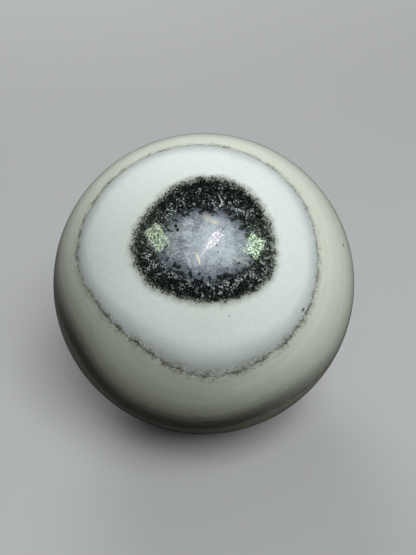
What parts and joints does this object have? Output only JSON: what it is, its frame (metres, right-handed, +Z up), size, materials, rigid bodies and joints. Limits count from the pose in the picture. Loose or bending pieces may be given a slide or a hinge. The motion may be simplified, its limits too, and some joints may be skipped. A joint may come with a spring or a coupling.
{
  "type": "calcite sphere",
  "caption": "Polished solid ball of banded calcite, with a pale eye ringed by dark speckled and white layers, kept on a desk or shelf as an ornament.",
  "frame": {"origin": "centre of the ball", "axes": "+Z up; the eye of the bands looks towards -Y, tilted 50 degrees up from the horizon; +X to the right of someone facing the eye"},
  "size_m": [0.06, 0.06, 0.06],
  "materials": {
    "banded_calcite": "polished stone, translucent white and pale green-ivory calcite with a black speckled ring"
  },
  "bodies": {
    "root": {"calcite_sphere": "banded_calcite"}
  },
  "joints": []
}
